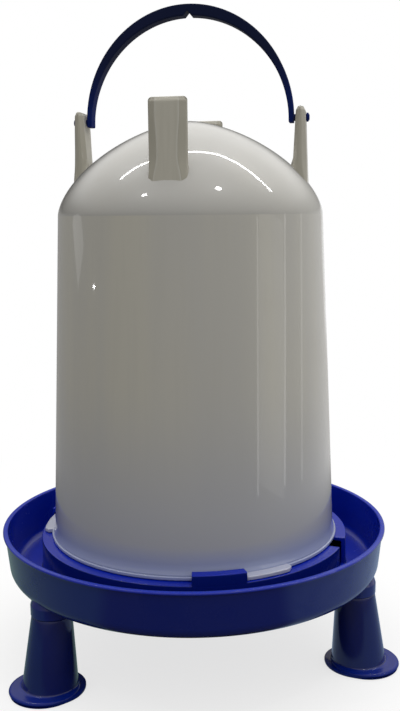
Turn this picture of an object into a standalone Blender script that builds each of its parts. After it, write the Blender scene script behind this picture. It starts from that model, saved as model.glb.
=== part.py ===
"""Poultry drinker: a translucent water bell that stands in a blue drinking tray on three push-in legs,
with a bail handle on top. Metres, +Z up, origin at the centre of the tray's flat underside."""

from math import cos, pi, radians, sin, sqrt

import bmesh
import bpy

# Driving dimensions, in metres and degrees

FACETS = 72
LEG_FACETS = 28

# Gap that separate pieces keep where they touch
TOUCH = 0.0003

# Bell
FOOT_WALL_R = 0.1098
WALL_TAPER = 0.0098
SHOULDER_Z = 0.275
DOME_H = 0.0694
DOME_POWER = 1.59
BELL_WALL = 0.0020
LIP_REACH = 0.0026
BELL_LIP_T = 0.0026
BELL_FLARE_H = 0.009
SKIRT_INSET = 0.0030
SKIRT_WALL = 0.0022
SKIRT_BOTTOM = 0.015
LUG_SPAN = 18.4
LUG_REACH = 0.0060
LUG_T = 0.0029
LUG_END_SPAN = 1.8
LUG_END_REACH = 0.0034

# Ears on the dome
EARS = 4
EAR_W = 0.0262
EAR_STAND = 0.0078
EAR_INSET = 0.0200
EAR_TOP_T = 0.0066
EAR_INNER_SLOPE = 0.055
EAR_OUTER_SLOPE = 0.040
EAR_SIDE_BAND = 0.0056
EAR_SIDE_BEVEL = 0.0022
EAR_ROUND = 0.0028

# Bail handle
PIVOT_BELOW_EAR_TOP = 0.0072
BAIL_W = 0.012
BAIL_END_T = 0.0036
BAIL_TOP_T = 0.0082
BAIL_EXTRA_RISE = 0.0045
BAIL_TAIL = 0.0036
BAIL_SIDE_GAP = 0.0014
BAIL_CORNER = 0.0009
BAIL_STEPS = 36
HOOK_NOTCH_W = 0.0064
HOOK_NOTCH_DEPTH = 0.0034
PIN_R = 0.0025
PIN_CLEARANCE = 0.0003
PIN_HEAD_REACH = 0.0008
PIN_HEAD_L = 0.0022
PIN_HEAD_GAP = 0.0004

# Tray
TROUGH_W = 0.0296
TRAY_H = 0.036
TRAY_WALL = 0.0021
FLOOR_WALL = 0.0024
RIM_REACH = 0.0016
RIM_H = 0.0022
WALL_DRAFT = 0.0026
TRAY_CORNER_R = 0.0095

# Collar that the bell stands on, with its three bayonet hoods and the water outlet
COLLAR_H = 0.028
COLLAR_WALL = 0.0030
FLANGE_T = 0.0024
SEAT_CLEARANCE = 0.0008
STATIONS = 3
HOOD_START = 279.0
HOOD_SPAN = 18.3
HOOD_STOP_SPAN = 1.8
HOOD_ROOF_T = 0.0038
HOOD_WALL = 0.0013
HOOD_INSET = 0.0004
OUTLET_AT = 349.7
OUTLET_SPAN = 9.6
OUTLET_SILL = 0.008

# Sockets under the tray and the legs in them
LEGS = 3
FIRST_LEG_AT = 108.0
LEG_INSET = 0.0148
SOCKET_R = 0.0151
SOCKET_DEPTH = 0.0074
SOCKET_TOP = 0.012
SOCKET_WALL = 0.0024
LEG_H = 0.065
LEG_STEP = 0.0005
LEG_FLARE = 0.0058
LEG_SPLAY = 0.0032
LEG_WALL = 0.0020
FOOT_LIP = 0.0053
FOOT_T = 0.0044
FOOT_OFFSET = 0.0080
FOOT_EDGE_R = 0.0014

# Sizes that follow from the ones above

SHOULDER_R = FOOT_WALL_R - WALL_TAPER
APEX_Z = SHOULDER_Z + DOME_H
BELL_LIP_R = FOOT_WALL_R + LIP_REACH
SKIRT_R = FOOT_WALL_R - SKIRT_INSET
LUG_R = BELL_LIP_R + LUG_REACH
BELL_Z = COLLAR_H + TOUCH

EAR_TOP_Z = APEX_Z + EAR_STAND
EAR_INNER_R = SHOULDER_R - EAR_INSET
PIVOT_Z = EAR_TOP_Z - PIVOT_BELOW_EAR_TOP
EAR_OUTER_AT_PIVOT = EAR_INNER_R + EAR_TOP_T + EAR_OUTER_SLOPE * PIVOT_BELOW_EAR_TOP
BAIL_R = EAR_INNER_R - EAR_INNER_SLOPE * (PIVOT_BELOW_EAR_TOP + BAIL_TAIL) - BAIL_SIDE_GAP
BAIL_RISE = BAIL_R + BAIL_EXTRA_RISE
PIN_HEAD_R = PIN_R + PIN_HEAD_REACH

HOOD_INNER_R = BELL_LIP_R + 2 * TOUCH
HOOD_R = LUG_R + TOUCH + HOOD_WALL
HOOD_GAP_Z = BELL_Z + LUG_T + 2 * TOUCH
HOOD_TOP = HOOD_GAP_Z + HOOD_ROOF_T
LUG_START = HOOD_START + HOOD_SPAN + 0.4
COLLAR_R = HOOD_R + HOOD_INSET
FLANGE_BORE_R = SKIRT_R + SEAT_CLEARANCE
RIM_R = COLLAR_R + TROUGH_W
WALL_TOP_R = RIM_R - RIM_REACH
WALL_FOOT_R = WALL_TOP_R - WALL_DRAFT
LEG_CIRCLE_R = WALL_FOOT_R - LEG_INSET
LEG_TOP_R = SOCKET_R - LEG_STEP
LEG_FOOT_R = LEG_TOP_R + LEG_FLARE
FOOT_R = LEG_FOOT_R + FOOT_LIP


def material(name, colour, roughness, alpha=1.0):
    """A plastic: its colour, roughness and how much shows through it."""
    made = bpy.data.materials.new(name)
    made.use_nodes = True
    shader = made.node_tree.nodes["Principled BSDF"]
    shader.inputs["Base Color"].default_value = (*colour, 1.0)
    shader.inputs["Roughness"].default_value = roughness
    shader.inputs["Metallic"].default_value = 0.0
    shader.inputs["Alpha"].default_value = alpha
    return made


def arc(centre_r, centre_z, radius, start, end, count):
    """Points of a round corner in an outline, from one angle to the other."""
    angles = [radians(start + (end - start) * i / count) for i in range(count + 1)]
    return [(centre_r + radius * cos(a), centre_z + radius * sin(a)) for a in angles]


def new_object(name, mesh_maker, finish=None):
    """An object around the mesh that mesh_maker fills, shaded smooth away from its sharp edges."""
    shape = bmesh.new()
    mesh_maker(shape)
    bmesh.ops.remove_doubles(shape, verts=shape.verts, dist=1e-7)
    bmesh.ops.recalc_face_normals(shape, faces=shape.faces)
    mesh = bpy.data.meshes.new(name)
    shape.to_mesh(mesh)
    shape.free()
    mesh.shade_smooth()
    mesh.set_sharp_from_angle(angle=radians(35))
    made = bpy.data.objects.new(name, mesh)
    bpy.context.scene.collection.objects.link(made)
    if finish:
        mesh.materials.append(finish)
    return made


def turned(name, outline, finish=None, facets=FACETS):
    """A solid of revolution about Z. The outline is (radius, height) points, and starts and ends on the
    axis or, for a ring, joins up with itself."""
    on_axis = outline[0][0] == 0 and outline[-1][0] == 0

    def fill(shape):
        points = [shape.verts.new((r, 0, z)) for r, z in outline]
        pairs = list(zip(points, points[1:]))
        if not on_axis:
            pairs.append((points[-1], points[0]))
        lines = [shape.edges.new(pair) for pair in pairs]
        bmesh.ops.spin(shape, geom=points + lines, cent=(0, 0, 0), axis=(0, 0, 1), angle=2 * pi,
                       steps=facets, use_merge=True)

    return new_object(name, fill, finish)


def lofted(name, sections, finish=None):
    """A closed solid through sections of equally many points, capped at both ends."""

    def fill(shape):
        rings = [[shape.verts.new(point) for point in section] for section in sections]
        count = len(rings[0])
        for lower, upper in zip(rings, rings[1:]):
            for i in range(count):
                j = (i + 1) % count
                shape.faces.new((lower[i], lower[j], upper[j], upper[i]))
        shape.faces.new(rings[0])
        shape.faces.new(rings[-1])

    return new_object(name, fill, finish)


def around_z(section, start, end, steps):
    """A section of (radius, height) points carried round Z from one angle to the other."""
    angles = [radians(start + (end - start) * i / steps) for i in range(steps + 1)]
    return [[(r * cos(a), r * sin(a), z) for r, z in section] for a in angles]


def box_section(r_in, r_out, low, high):
    """A rectangle as (radius, height) points."""
    return [(r_in, low), (r_out, low), (r_out, high), (r_in, high)]


def ring(radius, height, centre=(0, 0), facets=LEG_FACETS):
    """A level circle of points."""
    turns = [2 * pi * i / facets for i in range(facets)]
    return [(centre[0] + radius * cos(a), centre[1] + radius * sin(a), height) for a in turns]


def combine(target, operation, tools):
    """Joins the tools to the target or cuts them out of it, and hides them as guides."""
    for tool in tools:
        change = target.modifiers.new(tool.name, "BOOLEAN")
        change.operation = operation
        change.solver = "EXACT"
        change.object = tool
        tool.hide_render = True
        tool.display_type = "WIRE"
        tool.parent = target


def turn(degrees, point):
    """A point turned about Z."""
    a = radians(degrees)
    x, y, z = point
    return (x * cos(a) - y * sin(a), x * sin(a) + y * cos(a), z)


# Tray


def tray_outer_outline():
    """The tray's outside, filled up to the rim: underside, round corner, flared wall and rolled lip."""
    lip_low = TRAY_H - RIM_H
    lip_r = RIM_H / 2
    corner = arc(WALL_FOOT_R - TRAY_CORNER_R, TRAY_CORNER_R, TRAY_CORNER_R, -90, 0, 5)
    lip = arc(RIM_R - lip_r, TRAY_H - lip_r, lip_r, -90, 90, 6)
    return [(0, 0), *corner, (WALL_TOP_R, lip_low), *lip, (0, TRAY_H)]


def tray_hollow_outline():
    """All that is empty inside the tray: the trough, the space over the collar and the space in it."""
    inner_top_r = WALL_TOP_R - TRAY_WALL
    inner_foot_r = WALL_FOOT_R - TRAY_WALL
    fillet = TRAY_CORNER_R - TRAY_WALL
    collar_in = COLLAR_R - COLLAR_WALL
    above = TRAY_H + 0.01
    soften = 0.0008
    return [
        (0, FLOOR_WALL),
        (collar_in, FLOOR_WALL),
        (collar_in, COLLAR_H - FLANGE_T),
        (FLANGE_BORE_R, COLLAR_H - FLANGE_T),
        (FLANGE_BORE_R, COLLAR_H),
        (COLLAR_R - soften / 2, COLLAR_H),
        (COLLAR_R, COLLAR_H - soften / 2),
        (COLLAR_R, FLOOR_WALL),
        *arc(inner_foot_r - fillet, FLOOR_WALL + fillet, fillet, -90, 0, 4),
        (inner_top_r, TRAY_H - soften),
        (inner_top_r + soften, TRAY_H),
        (inner_top_r + soften, above),
        (0, above),
    ]


def hood_pieces(station):
    """One bayonet hood: an outer wall with a roof over the lug, closed by a stop at one end."""
    start = HOOD_START + station * 360 / STATIONS
    root = COLLAR_H - FLANGE_T / 2
    cover = [
        (HOOD_R - HOOD_WALL, root),
        (HOOD_R, root),
        (HOOD_R, HOOD_TOP),
        (HOOD_INNER_R, HOOD_TOP),
        (HOOD_INNER_R, HOOD_GAP_Z),
        (HOOD_R - HOOD_WALL, HOOD_GAP_Z),
    ]
    stop = box_section(HOOD_INNER_R, HOOD_R, root, HOOD_TOP)
    overlap = HOOD_STOP_SPAN / 2
    return [
        lofted(f"hood_cover_{station}", around_z(cover, start + overlap, start + HOOD_SPAN, 5)),
        lofted(f"hood_stop_{station}", around_z(stop, start, start + HOOD_STOP_SPAN, 1)),
    ]


def leg_angle(index):
    """Where a leg stands round the tray, in degrees."""
    return FIRST_LEG_AT + index * 360 / LEGS


def socket_pieces(index):
    """A leg socket under the tray and the bore that cuts it open from below."""
    centre = turn(leg_angle(index), (LEG_CIRCLE_R, 0, 0))[:2]
    edge = 0.0006
    tube = lofted(f"socket_{index}", [
        ring(SOCKET_R - edge, -SOCKET_DEPTH, centre),
        ring(SOCKET_R, -SOCKET_DEPTH + edge, centre),
        ring(SOCKET_R, SOCKET_TOP * 0.05, centre),
        ring(SOCKET_R * 0.88, SOCKET_TOP * 0.5, centre),
        ring(SOCKET_R * 0.5, SOCKET_TOP, centre),
    ])
    bore_r = SOCKET_R - SOCKET_WALL
    bore = lofted(f"socket_bore_{index}", [
        ring(bore_r, -2 * SOCKET_DEPTH, centre),
        ring(bore_r, 0.0, centre),
    ])
    return tube, bore


def make_tray(finish):
    """The drinking tray: trough, collar with bayonet hoods and outlet, and three leg sockets."""
    tray = turned("tray", tray_outer_outline(), finish)
    sockets = [socket_pieces(i) for i in range(LEGS)]
    combine(tray, "UNION", [tube for tube, _ in sockets])
    combine(tray, "DIFFERENCE", [turned("tray_hollow", tray_hollow_outline())])
    combine(tray, "UNION", [piece for i in range(STATIONS) for piece in hood_pieces(i)])
    combine(tray, "DIFFERENCE", [bore for _, bore in sockets])
    half = OUTLET_SPAN / 2
    gap = box_section(FLANGE_BORE_R - 0.004, COLLAR_R + 0.004, OUTLET_SILL, COLLAR_H + 0.004)
    outlet = lofted("outlet_cut", around_z(gap, OUTLET_AT - half, OUTLET_AT + half, 2))
    combine(tray, "DIFFERENCE", [outlet])
    return tray


# Legs


def make_leg(index, finish):
    """A hollow cone with a plug on top for its socket and a round foot set outwards."""
    ground = -LEG_H
    shoulder = -SOCKET_DEPTH - TOUCH
    plug_r = SOCKET_R - SOCKET_WALL - TOUCH
    plug_top = -2 * TOUCH
    plug_wall_r = plug_r - LEG_WALL
    foot_top = ground + FOOT_T

    def level(radius, height, outwards=0.0):
        centre = turn(leg_angle(index), (LEG_CIRCLE_R + outwards, 0, 0))[:2]
        return ring(radius, height, centre)

    edge = FOOT_EDGE_R
    bevel = edge * (1 - 1 / sqrt(2))
    outside = [
        level(plug_r - 2 * TOUCH, plug_top),
        level(plug_r, plug_top - 2 * TOUCH),
        level(plug_r, shoulder),
        level(LEG_TOP_R - TOUCH, shoulder),
        level(LEG_TOP_R, shoulder - TOUCH),
        level(LEG_FOOT_R, foot_top, LEG_SPLAY),
        level(FOOT_R - edge, foot_top, FOOT_OFFSET),
        level(FOOT_R - bevel, foot_top - bevel, FOOT_OFFSET),
        level(FOOT_R, foot_top - edge, FOOT_OFFSET),
        level(FOOT_R, ground + edge, FOOT_OFFSET),
        level(FOOT_R - edge, ground, FOOT_OFFSET),
    ]
    inside = [
        level(LEG_FOOT_R - LEG_WALL, ground, LEG_SPLAY),
        level(LEG_TOP_R - LEG_WALL, shoulder - LEG_WALL),
        level(plug_wall_r, shoulder),
        level(plug_wall_r, plug_top - LEG_WALL),
    ]
    return lofted(f"leg_{index + 1}", outside + inside, finish)


# Bell


def dome(radius, height, base, count):
    """The dome from the shoulder to its top, a superellipse of revolution."""
    points = []
    for i in range(count + 1):
        along = (pi / 2) * i / count
        r = radius * cos(along) ** (2 / DOME_POWER)
        z = base + height * sin(along) ** (2 / DOME_POWER)
        points.append((r, z))
    points[-1] = (0, base + height)
    return points


def bell_outer_outline():
    """Lip, flared foot, tapering wall and dome."""
    lip_top = BELL_Z + BELL_LIP_T
    flare_top = lip_top + BELL_FLARE_H
    edge = BELL_LIP_T / 3
    slope = (FOOT_WALL_R - SHOULDER_R) / (SHOULDER_Z - flare_top)
    flare = []
    for i in range(1, 4):
        share = i / 4
        r = FOOT_WALL_R + (BELL_LIP_R - edge - FOOT_WALL_R) * (1 - share) ** 2.2
        flare.append((r, lip_top + BELL_FLARE_H * share))
    middle_z = (flare_top + SHOULDER_Z) / 2
    middle_r = SHOULDER_R + slope * (SHOULDER_Z - middle_z)
    return [
        (0, BELL_Z),
        (BELL_LIP_R - edge, BELL_Z),
        (BELL_LIP_R, BELL_Z + edge),
        (BELL_LIP_R, lip_top - edge),
        (BELL_LIP_R - edge, lip_top),
        *flare,
        (FOOT_WALL_R, flare_top),
        (middle_r, middle_z),
        *dome(SHOULDER_R, DOME_H, SHOULDER_Z, 14),
    ]


def bell_hollow_outline():
    """The space inside the bell, a wall's thickness in from its outside."""
    lip_top = BELL_Z + BELL_LIP_T
    flare_top = lip_top + BELL_FLARE_H
    mouth_r = SKIRT_R - SKIRT_WALL
    return [
        (0, BELL_Z - 0.01),
        (mouth_r, BELL_Z - 0.01),
        (mouth_r, lip_top),
        (FOOT_WALL_R - BELL_WALL, flare_top),
        *dome(SHOULDER_R - BELL_WALL, DOME_H - BELL_WALL, SHOULDER_Z, 12),
    ]


def make_lug(station):
    """One bayonet lug on the bell's lip, beside the hood that it turns under."""
    start = LUG_START + station * 360 / STATIONS
    end = start + LUG_SPAN
    root = BELL_LIP_R - 0.004
    full = box_section(root, LUG_R, BELL_Z, BELL_Z + LUG_T)
    tip = box_section(root, BELL_LIP_R + LUG_END_REACH, BELL_Z, BELL_Z + LUG_T)
    sections = around_z(full, start, end - LUG_END_SPAN, 5) + around_z(tip, end, end, 1)[:1]
    return lofted(f"lug_{station}", sections)


def ear_section(height, shrink=0.0):
    """A level cut through an ear at +X: a flat panel with slanted side bands, drawn in by shrink."""
    drop = EAR_TOP_Z - height
    inner = EAR_INNER_R - EAR_INNER_SLOPE * drop
    outer = EAR_INNER_R + EAR_TOP_T + EAR_OUTER_SLOPE * drop
    half = EAR_W / 2
    panel = half - EAR_SIDE_BAND
    outline = [
        (outer, -panel),
        (outer, panel),
        (outer - EAR_SIDE_BEVEL, half),
        (inner + EAR_SIDE_BEVEL / 2, half),
        (inner, panel),
        (inner, -panel),
        (inner + EAR_SIDE_BEVEL / 2, -half),
        (outer - EAR_SIDE_BEVEL, -half),
    ]
    middle = (inner + outer) / 2
    thick = (outer - inner) / 2
    return [
        (middle + (x - middle) * (1 - shrink / thick), y * (1 - shrink / half), height)
        for x, y in outline
    ]


def make_ear(index):
    """One ear, from inside the dome's wall up to a top with rounded edges."""
    foot = SHOULDER_Z + DOME_H * 0.15
    levels = [(foot, 0.0), (EAR_TOP_Z - EAR_ROUND, 0.0)]
    for i in range(1, 4):
        along = (pi / 2) * i / 3
        levels.append((EAR_TOP_Z - EAR_ROUND * (1 - sin(along)), 0.7 * EAR_ROUND * (1 - cos(along))))
    degrees = index * 360 / EARS
    sections = [[turn(degrees, p) for p in ear_section(z, shrink)] for z, shrink in levels]
    return lofted(f"ear_{index}", sections)


def make_pin_hole(side):
    """The round hole through the ear at +X or -X for the bail's pin."""
    near = BAIL_R - BAIL_TAIL
    far = EAR_OUTER_AT_PIVOT + 0.006
    radius = PIN_R + PIN_CLEARANCE
    sections = []
    for x in (near, far):
        sections.append([(side * x, y, z + PIVOT_Z) for y, z, _ in ring(radius, 0, facets=16)])
    return lofted(f"pin_hole_{'right' if side > 0 else 'left'}", sections)


def make_bell(finish):
    """The water bell with its lip, three lugs and four ears, hollowed out and pierced for the bail."""
    bell = turned("bell", bell_outer_outline(), finish)
    combine(bell, "UNION", [make_ear(i) for i in range(EARS)])
    combine(bell, "UNION", [make_lug(i) for i in range(STATIONS)])
    combine(bell, "DIFFERENCE", [turned("bell_hollow", bell_hollow_outline())])
    combine(bell, "DIFFERENCE", [make_pin_hole(side) for side in (1, -1)])
    return bell


def make_mouth_skirt(finish):
    """The bell's mouth below its lip, a plain ring that dips into the collar and sets the water level."""
    return turned("mouth_skirt", box_section(SKIRT_R - SKIRT_WALL, SKIRT_R, SKIRT_BOTTOM, COLLAR_H), finish)


# Bail handle


def bail_section(out_x, out_z, towards_x, towards_z, thickness):
    """A rounded rectangle across the bail. Its outer face is at (out_x, out_z) and its thickness runs
    from there towards the bail's inside."""
    half = BAIL_W / 2
    c = BAIL_CORNER
    t = thickness
    outline = [(0, -half + c), (0, half - c), (c, half), (t - c, half),
               (t, half - c), (t, -half + c), (t - c, -half), (c, -half)]
    return [(out_x + towards_x * depth, y, out_z + towards_z * depth) for depth, y in outline]


def make_bail(finish):
    """The carrying handle: a half hoop, thicker at the top, with a pin at each end and a hook notch.
    Its sizes are measured from the pivot axis, which lies along its own X axis."""
    sections = [bail_section(BAIL_R, -BAIL_TAIL, -1, 0, BAIL_END_T)]
    for i in range(BAIL_STEPS + 1):
        a = pi * i / BAIL_STEPS
        x = BAIL_R * cos(a)
        z = BAIL_RISE * sin(a)
        across = sqrt((cos(a) * BAIL_RISE) ** 2 + (sin(a) * BAIL_R) ** 2)
        thickness = BAIL_END_T + (BAIL_TOP_T - BAIL_END_T) * sin(a) ** 1.3
        sections.append(bail_section(x, z, -cos(a) * BAIL_RISE / across, -sin(a) * BAIL_R / across, thickness))
    sections.append(bail_section(-BAIL_R, -BAIL_TAIL, 1, 0, BAIL_END_T))
    bail = lofted("bail", sections, finish)
    head = EAR_OUTER_AT_PIVOT + PIN_HEAD_GAP
    lengths = [
        (BAIL_R - BAIL_END_T / 2, PIN_R),
        (head, PIN_R),
        (head, PIN_HEAD_R),
        (head + PIN_HEAD_L * 0.55, PIN_HEAD_R * 0.92),
        (head + PIN_HEAD_L, PIN_HEAD_R * 0.55),
    ]
    for side in (1, -1):
        rings = [[(side * x, y, z) for y, z, _ in ring(r, 0, facets=16)] for x, r in lengths]
        combine(bail, "UNION", [lofted(f"pin_{'right' if side > 0 else 'left'}", rings)])
    tip = BAIL_RISE - BAIL_TOP_T + HOOK_NOTCH_DEPTH
    mouth = BAIL_RISE - BAIL_TOP_T - HOOK_NOTCH_DEPTH
    wedge = [(0, tip), (-HOOK_NOTCH_W, mouth), (HOOK_NOTCH_W, mouth)]
    notch = lofted("hook_notch", [[(x, y, z) for x, z in wedge] for y in (-BAIL_W, BAIL_W)])
    combine(bail, "DIFFERENCE", [notch])
    bail.location = (0, 0, PIVOT_Z)
    return bail


def main():
    """Clears the scene and builds the drinker."""
    for old in list(bpy.data.objects):
        bpy.data.objects.remove(old)
    blue = material("blue_plastic", (0.012, 0.030, 0.240), 0.28)
    dark_blue = material("dark_blue_plastic", (0.008, 0.014, 0.105), 0.25)
    navy = material("navy_plastic", (0.006, 0.008, 0.045), 0.35)
    milky = material("milky_plastic", (0.62, 0.61, 0.57), 0.22, alpha=0.9)
    make_tray(blue)
    for index in range(LEGS):
        make_leg(index, dark_blue)
    make_mouth_skirt(milky)
    bell = make_bell(milky)
    bail = make_bail(navy)
    bail.parent = bell


main()
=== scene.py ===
"""Looks of a poultry drinker: a translucent water bell in a blue drinking tray on three legs, with a bail.

Every surface is worked out as whole arrays on a grid of two parameters. Lengths in the sub-assemblies are
millimetres, as a maker's drawing has them, and become metres where a mesh is made. Lengths in the finishes
and in the studio are metres.
"""

import logging
from dataclasses import dataclass
from enum import Enum
from typing import Any, Callable, Sequence

import bpy
import numpy as np
from mathutils import Matrix, Vector

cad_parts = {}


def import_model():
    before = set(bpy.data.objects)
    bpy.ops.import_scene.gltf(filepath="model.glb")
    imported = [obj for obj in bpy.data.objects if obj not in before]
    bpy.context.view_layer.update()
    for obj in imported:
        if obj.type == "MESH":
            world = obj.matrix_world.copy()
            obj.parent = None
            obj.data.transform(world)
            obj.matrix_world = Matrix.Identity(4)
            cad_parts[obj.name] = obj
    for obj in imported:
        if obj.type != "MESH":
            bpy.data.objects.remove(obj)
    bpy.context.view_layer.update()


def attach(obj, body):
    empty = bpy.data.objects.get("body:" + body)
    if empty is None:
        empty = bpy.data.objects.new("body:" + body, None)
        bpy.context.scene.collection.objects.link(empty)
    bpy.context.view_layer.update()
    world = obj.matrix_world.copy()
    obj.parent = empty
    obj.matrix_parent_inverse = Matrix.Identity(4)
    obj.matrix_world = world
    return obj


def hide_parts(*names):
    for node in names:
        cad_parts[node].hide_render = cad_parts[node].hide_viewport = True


log = logging.getLogger("drinker")
MM = 0.001
# The least length that anything is divided by
TINY = 1e-9
# Points in the same cell of this many millimetres are one point
CELL = 2e-4
# The most of a straight side that the fillet at one end of it takes
FILLET_SHARE = 0.47
# Where the legs and their sockets stand: degrees, and the circle's radius
LEG_ANGLES = (108.0, 228.0, 348.0)
LEG_CIRCLE = 131.0
# The height of the bail's pins
PIVOT_Z = 345.0
# An ear's panel narrows from the first height to the second by a share, and widens likewise further down
EAR_WAIST = (342.0, 320.0, 0.15)
EAR_FOOT = (314.0, 296.0, 0.32)


class Body(Enum):
    """The bodies that pieces ride on."""

    BASE = "base"
    MOUTH = "mouth"
    BELL = "bell"
    BAIL = "bail"


# Outlines and surfaces


def smooth_step(x: np.ndarray, low: float, high: float) -> np.ndarray:
    """Rises from 0 at low to 1 at high as 3t^2 - 2t^3.

    Args:
        x: values.
        low: where the rise starts.
        high: where it ends, above or below low.

    Returns:
        The risen values, of x's shape.
    """
    t = np.clip((np.asarray(x, float) - low) / (high - low), 0, 1)
    return t * t * (3 - 2 * t)


def quarter(share: np.ndarray) -> np.ndarray:
    """1 - sqrt(1 - (1 - s)^2): 1 at the share 0, gone at the share 1, along a quarter of a circle."""
    return 1 - np.sqrt(1 - np.clip(1 - share, 0, 1) ** 2)


def rounded(corners: Sequence[tuple], closed: bool = True, arc: int = 7, straight: int = 6) -> np.ndarray:
    """An outline with a fillet at each corner.

    A corner of radius r between unit directions a (in) and b (out) turns by the angle w. Its arc starts
    r tan(w/2) before the corner and ends as far after it, and its points lie on the circle that touches both
    sides. Straight runs get points spread by a cosine, close together next to the arcs.

    Args:
        corners: (x, y, radius) of each corner in order.
        closed: whether the last corner joins up with the first.
        arc: steps in each arc.
        straight: steps in each straight run.

    Returns:
        Points of the outline, (n, 2).
    """
    data = np.array(corners, float)
    points, radii = data[:, :2], data[:, 2]
    into, out = points - np.roll(points, 1, 0), np.roll(points, -1, 0) - points
    length_in = np.linalg.norm(into, axis=1)
    length_out = np.linalg.norm(out, axis=1)
    into, out = into / length_in[:, None], out / length_out[:, None]
    turn = np.arctan2(into[:, 0] * out[:, 1] - into[:, 1] * out[:, 0], (into * out).sum(1))
    slant = np.tan(np.abs(turn) / 2)
    reach = radii * slant
    if not closed:
        reach[[0, -1]] = 0
    reach = np.minimum(reach, FILLET_SHARE * np.minimum(length_in, length_out))
    true_r = reach / np.maximum(slant, TINY)
    inward = np.stack([-into[:, 1], into[:, 0]], -1) * np.sign(turn)[:, None]
    centre = points - into * reach[:, None] + inward * true_r[:, None]
    angle = (np.linspace(0, 1, arc + 1) * np.abs(turn)[:, None])[..., None]
    spokes = np.sin(angle) * into[:, None] - np.cos(angle) * inward[:, None]
    arcs = centre[:, None] + true_r[:, None, None] * spokes
    spread = (1 - np.cos(np.pi * np.linspace(0, 1, straight + 1)[1:-1, None])) / 2
    start, end = arcs[:, -1:], np.roll(arcs, -1, 0)[:, :1]
    outline = np.concatenate([arcs, start + spread * (end - start)], 1).reshape(-1, 2)
    return outline if closed else outline[:1 - straight]


def outline_normals(section: np.ndarray) -> np.ndarray:
    """Unit normals of a closed outline, which point to the right of its direction.

    Args:
        section: the outline, (n, 2).

    Returns:
        The normals, (n, 2).
    """
    ahead = np.roll(section, -1, 0) - np.roll(section, 1, 0)
    ahead /= np.maximum(np.linalg.norm(ahead, axis=1, keepdims=True), TINY)
    return np.stack([ahead[:, 1], -ahead[:, 0]], -1)


def turned(outline: np.ndarray, steps: int) -> np.ndarray:
    """A surface of revolution about Z: (r cos a, r sin a, z) over the outline and the angle a.

    Args:
        outline: (radius, height) points, (n, 2).
        steps: how many angles.

    Returns:
        A grid, (n, steps, 3), whose second way closes on itself.
    """
    angle = np.linspace(0, 2 * np.pi, steps, endpoint=False)
    r, z = outline[:, :1], outline[:, 1:]
    return np.stack([r * np.cos(angle), r * np.sin(angle), z + 0 * angle], -1)


def swept_round_z(sections: np.ndarray, degrees: np.ndarray) -> np.ndarray:
    """Sections of (radius, height) carried round Z, one at each angle.

    Args:
        sections: (k, n, 2), or (n, 2) where all are alike.
        degrees: the k angles.

    Returns:
        A grid, (k, n, 3), with open ends.
    """
    a = np.radians(degrees)[:, None]
    r, z = np.broadcast_to(sections, (len(degrees), *sections.shape[-2:])).transpose(2, 0, 1)
    return np.stack([r * np.cos(a), r * np.sin(a), z + 0 * a], -1)


def spun(grid: np.ndarray, degrees: float) -> np.ndarray:
    """A grid turned about Z by the angle a: (x cos a - y sin a, x sin a + y cos a, z)."""
    a, (x, y, z) = np.radians(degrees), np.moveaxis(grid, -1, 0)
    return np.stack([x * np.cos(a) - y * np.sin(a), x * np.sin(a) + y * np.cos(a), z], -1)


def with_centres(grid: np.ndarray) -> np.ndarray:
    """A grid with one more row at each end, collapsed to that end's middle, so that the tube is closed."""
    ends = np.repeat(grid[[0, -1]].mean(1, keepdims=True), grid.shape[1], 1)
    return np.concatenate([ends[:1], grid, ends[1:]])


def eased_ends(section: np.ndarray, start: float, end: float, edge: float, radius: float,
               steps: int) -> tuple:
    """A section and its angles along an arc whose two ends are rounded.

    Within the edge of an end, at the share s of it, the section draws in along its normals by
    edge (1 - sqrt(1 - (1 - s)^2)).

    Args:
        section: closed outline, (n, 2), running anticlockwise.
        start: first angle in degrees.
        end: last angle.
        edge: the rounding in millimetres.
        radius: the arc's radius, which turns the edge into degrees.
        steps: steps along the middle.

    Returns:
        The sections, (k, n, 2), and their angles, (k,).
    """
    span = np.degrees(edge / radius)
    share = 1 - np.cos(np.pi / 2 * np.linspace(0, 1, 6))
    draw = edge * quarter(share)
    middle = np.linspace(start + span, end - span, steps + 1)[1:-1]
    degrees = np.concatenate([start + span * share, middle, (end - span * share)[::-1]])
    depth = np.concatenate([draw, 0 * middle, draw[::-1]])
    return section[None] - outline_normals(section)[None] * depth[:, None, None], degrees


def welded(grid: np.ndarray) -> tuple:
    """The points and faces of one closed surface.

    Points that fall together, as at a pole or a seam, become one. An end that isn't joined to the other end
    gives a ring, which at a pole has no points. A surface whose volume, a sixth of the sum of its triangles'
    triple products, is negative is turned over. An open end adds nothing to that sum, because its plane runs
    through the Z axis.

    Args:
        grid: points, (rows, columns, 3), closed along their columns.

    Returns:
        The points, (n, 3), the quads, (m, 4), and a list of rings.
    """
    rows, columns = grid.shape[:2]
    flat = grid.reshape(-1, 3)
    cells = np.round(flat / CELL).astype(np.int64)
    _, first, index = np.unique(cells, axis=0, return_index=True, return_inverse=True)
    points, index = flat[first], index.reshape(rows, columns)
    i, j = np.meshgrid(np.arange(rows - 1), np.arange(columns), indexing="ij")
    k = (j + 1) % columns
    quads = np.stack([index[i, j], index[i + 1, j], index[i + 1, k], index[i, k]], -1).reshape(-1, 4)
    rings = [] if (index[0] == index[-1]).all() else [index[0], index[-1][::-1]]
    a, b, c, d = points[quads].transpose(1, 0, 2)
    if (np.cross(a, b) * c).sum() + (np.cross(a, c) * d).sum() < 0:
        quads, rings = quads[:, ::-1], [ring[::-1] for ring in rings]
    return points, quads, [ring[ring != np.roll(ring, 1)] for ring in rings]


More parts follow.
